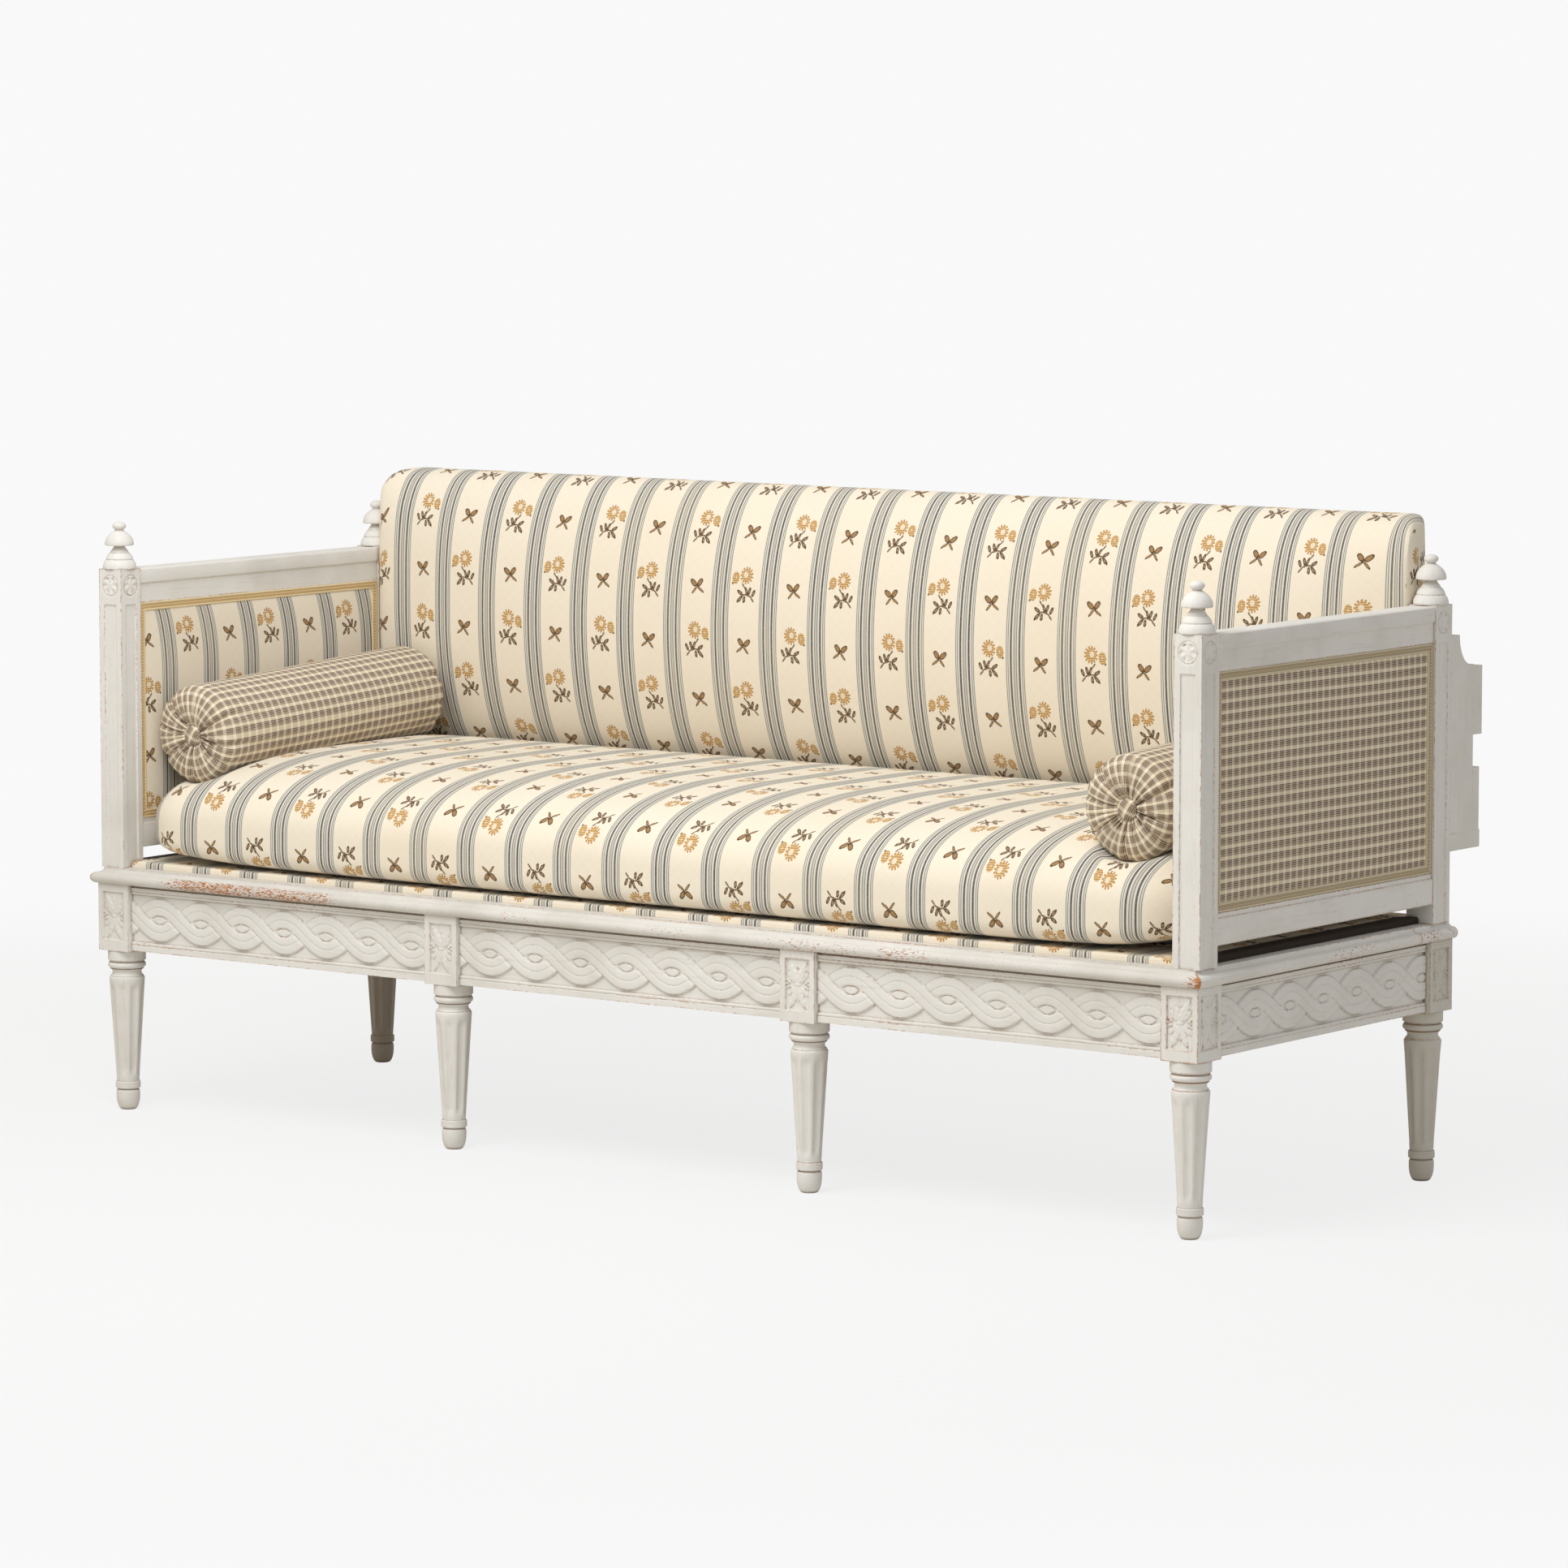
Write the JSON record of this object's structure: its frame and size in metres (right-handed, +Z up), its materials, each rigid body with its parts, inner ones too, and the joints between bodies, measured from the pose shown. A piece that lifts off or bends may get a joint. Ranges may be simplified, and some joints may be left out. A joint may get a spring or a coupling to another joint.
{
  "type": "sofa",
  "caption": "Painted wooden sofa on turned fluted legs, with loose seat and back cushions, upholstered arms, bolsters, carved rails and post finials.",
  "frame": {"origin": "on the floor, at the middle of the overall length and depth", "axes": "+Z up, -Y the front where a person sits down, +X to the right in a front view"},
  "size_m": [2.018, 0.7588, 0.9567],
  "materials": {
    "painted_wood": "worn off-white oil paint on wood, satin",
    "bare_wood": "unpainted aged wood, matte",
    "striped_cushion_cloth": "woven cream cloth with thin stripes and sprigs",
    "striped_arm_cloth": "woven cream cloth with thin stripes and sprigs",
    "striped_deck_cloth": "woven cream cloth with thin stripes",
    "checked_bolster_cloth": "woven small check cloth",
    "checked_button_cloth": "woven small check cloth",
    "checked_cover_cloth": "woven small check cloth",
    "ochre_braid": "flat woven braid",
    "mixed_braid": "flat woven braid",
    "jute_webbing": "woven jute",
    "deck_stuffing": "felted stuffing",
    "dark_nails": "dark iron"
  },
  "bodies": {
    "frame": {"front_left_leg": "painted_wood", "front_inner_left_leg": "painted_wood", "front_inner_right_leg": "painted_wood", "front_right_leg": "painted_wood", "rear_left_leg": "painted_wood", "rear_right_leg": "painted_wood", "front_rail_left": "painted_wood", "front_rail_middle": "painted_wood", "front_rail_right": "painted_wood", "left_rail": "painted_wood", "right_rail": "painted_wood", "back_rail": "painted_wood", "left_cross_rail": "bare_wood", "right_cross_rail": "bare_wood", "front_board": "painted_wood", "left_board": "painted_wood", "right_board": "painted_wood", "left_board_end": "painted_wood", "right_board_end": "painted_wood", "back_board": "painted_wood", "cross_webs": "jute_webbing", "long_webs": "jute_webbing", "deck_pad": "deck_stuffing", "deck_cover": "striped_deck_cloth", "front_left_post": "painted_wood", "front_right_post": "painted_wood", "rear_left_post": "painted_wood", "rear_right_post": "painted_wood", "front_left_finial": "painted_wood", "front_right_finial": "painted_wood", "rear_left_finial": "painted_wood", "rear_right_finial": "painted_wood", "left_top_rail": "painted_wood", "right_top_rail": "painted_wood", "left_low_rail": "painted_wood", "right_low_rail": "painted_wood", "left_arm_pad": "striped_arm_cloth", "right_arm_pad": "striped_arm_cloth", "left_arm_cover": "checked_cover_cloth", "right_arm_cover": "checked_cover_cloth", "left_inner_gimp": "ochre_braid", "right_inner_gimp": "ochre_braid", "left_outer_gimp": "mixed_braid", "right_outer_gimp": "mixed_braid", "left_bracket": "painted_wood", "right_bracket": "painted_wood", "back_shelf": "painted_wood", "lower_slat": "painted_wood", "upper_slat": "painted_wood", "slat_nails": "dark_nails"},
    "seat_cushion": {"seat_cushion": "striped_cushion_cloth"},
    "back_cushion": {"back_cushion": "striped_cushion_cloth"},
    "left_bolster": {"left_bolster": "checked_bolster_cloth", "left_bolster_buttons": "checked_button_cloth"},
    "right_bolster": {"right_bolster": "checked_bolster_cloth", "right_bolster_buttons": "checked_button_cloth"}
  },
  "joints": [
    {"name": "seat_cushion_slide", "type": "slide", "parent": "frame", "child": "seat_cushion", "axis": [0, -1, 0], "range_m": [0, 0.2]},
    {"name": "back_cushion_lift", "type": "slide", "parent": "frame", "child": "back_cushion", "axis": [0, 0, 1], "range_m": [0, 0.25]},
    {"name": "left_bolster_lift", "type": "slide", "parent": "seat_cushion", "child": "left_bolster", "axis": [0, 0, 1], "range_m": [0, 0.12]},
    {"name": "right_bolster_lift", "type": "slide", "parent": "seat_cushion", "child": "right_bolster", "axis": [0, 0, 1], "range_m": [0, 0.12]}
  ]
}
